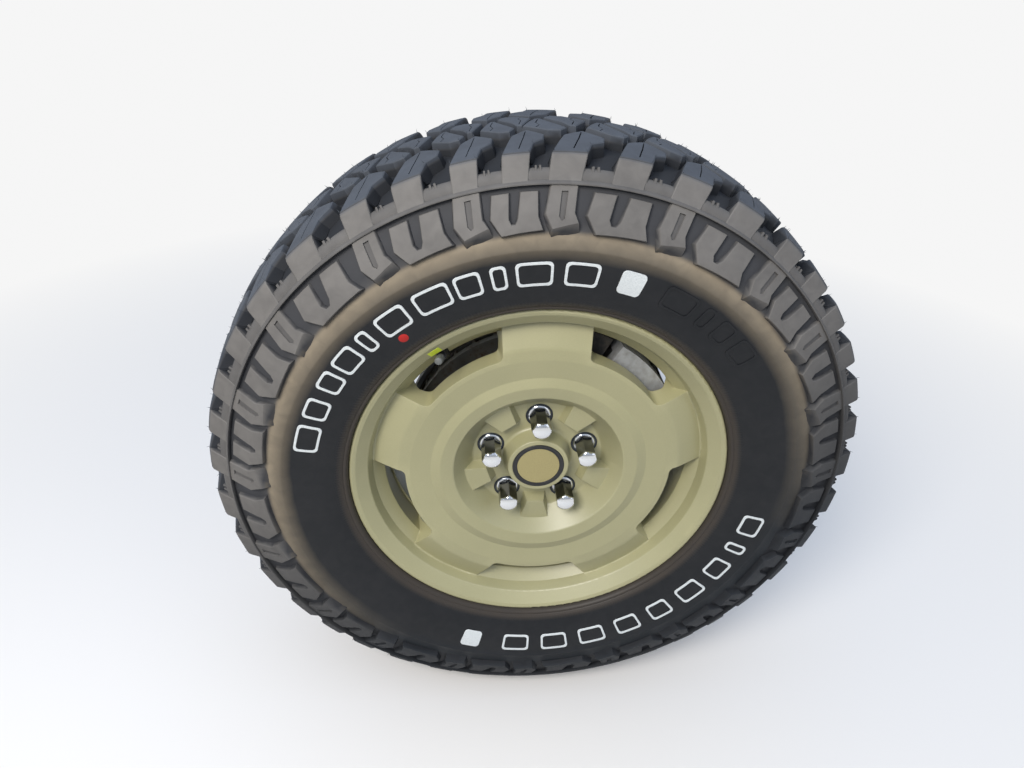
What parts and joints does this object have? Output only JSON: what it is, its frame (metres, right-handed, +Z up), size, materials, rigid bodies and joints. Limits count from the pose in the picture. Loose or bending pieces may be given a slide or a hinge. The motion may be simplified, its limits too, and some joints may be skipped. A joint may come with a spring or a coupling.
{
  "type": "steered front wheel end of a light 4x4",
  "caption": "Steered front wheel end of a light 4x4: mud-terrain tyre on a cast wheel, with hub, disc brake, knuckle and axle yoke.",
  "frame": {"origin": "centre of the mouth of the yoke's axle tube socket, on the wheel's spin axis", "axes": "+X towards the vehicle's rear, +Y inboard along the spin axis, +Z up; the wheel's outer face looks along -Y"},
  "size_m": [0.82, 0.344, 0.8183],
  "materials": {
    "steel": "machined, lightly rusted",
    "cast_black": "black coated casting",
    "caliper_silver": "silver-grey coating",
    "wheel_green": "satin olive green",
    "tyre": "matt rubber",
    "cap_black": "satin black",
    "cap_green": "dark bronze green",
    "rubber_black": "matt",
    "valve_grey": "grey knurled",
    "disc_iron": "turned faces with light rust",
    "friction_lining": "rough lining",
    "chrome": "polished"
  },
  "bodies": {
    "axle_end": {"axle_yoke": "cast_black", "upper_ball_joint": "cast_black", "lower_ball_joint": "cast_black"},
    "knuckle": {"steering_knuckle": "cast_black", "upper_ball_stud": "steel", "lower_ball_stud": "steel", "upper_stud_nut": "steel", "lower_stud_nut": "steel", "wheel_bearing": "steel", "bearing_bolts": "steel", "dust_shield": "steel", "caliper_body": "caliper_silver", "caliper_pistons": "steel", "caliper_bracket": "cast_black", "bracket_bolts": "steel", "guide_pins": "steel", "pin_boots": "rubber_black", "bleed_screw": "steel", "outer_pad_plate": "cast_black", "outer_pad_lining": "friction_lining", "inner_pad_plate": "cast_black", "inner_pad_lining": "friction_lining"},
    "wheel": {"wheel_hub": "steel", "brake_disc": "disc_iron", "drive_shaft": "steel", "wheel_rim": "wheel_green", "tyre": "tyre", "cap_ring": "cap_black", "cap_disc": "cap_green", "valve_stem": "rubber_black", "valve_cap": "valve_grey", "wheel_stud_1": "steel", "wheel_stud_2": "steel", "wheel_stud_3": "steel", "wheel_stud_4": "steel", "wheel_stud_5": "steel", "wheel_nut_1": "chrome", "wheel_nut_2": "chrome", "wheel_nut_3": "chrome", "wheel_nut_4": "chrome", "wheel_nut_5": "chrome"}
  },
  "joints": [
    {"name": "steering", "type": "hinge", "parent": "axle_end", "child": "knuckle", "pos_m": [0, -0.13, 0], "axis": [0.0861, 0.1559, 0.984], "range_deg": [-32, 32]},
    {"name": "wheel_spin", "type": "hinge", "parent": "knuckle", "child": "wheel", "pos_m": [0, -0.25, 0], "axis": [0, 1, 0], "continuous": true}
  ]
}
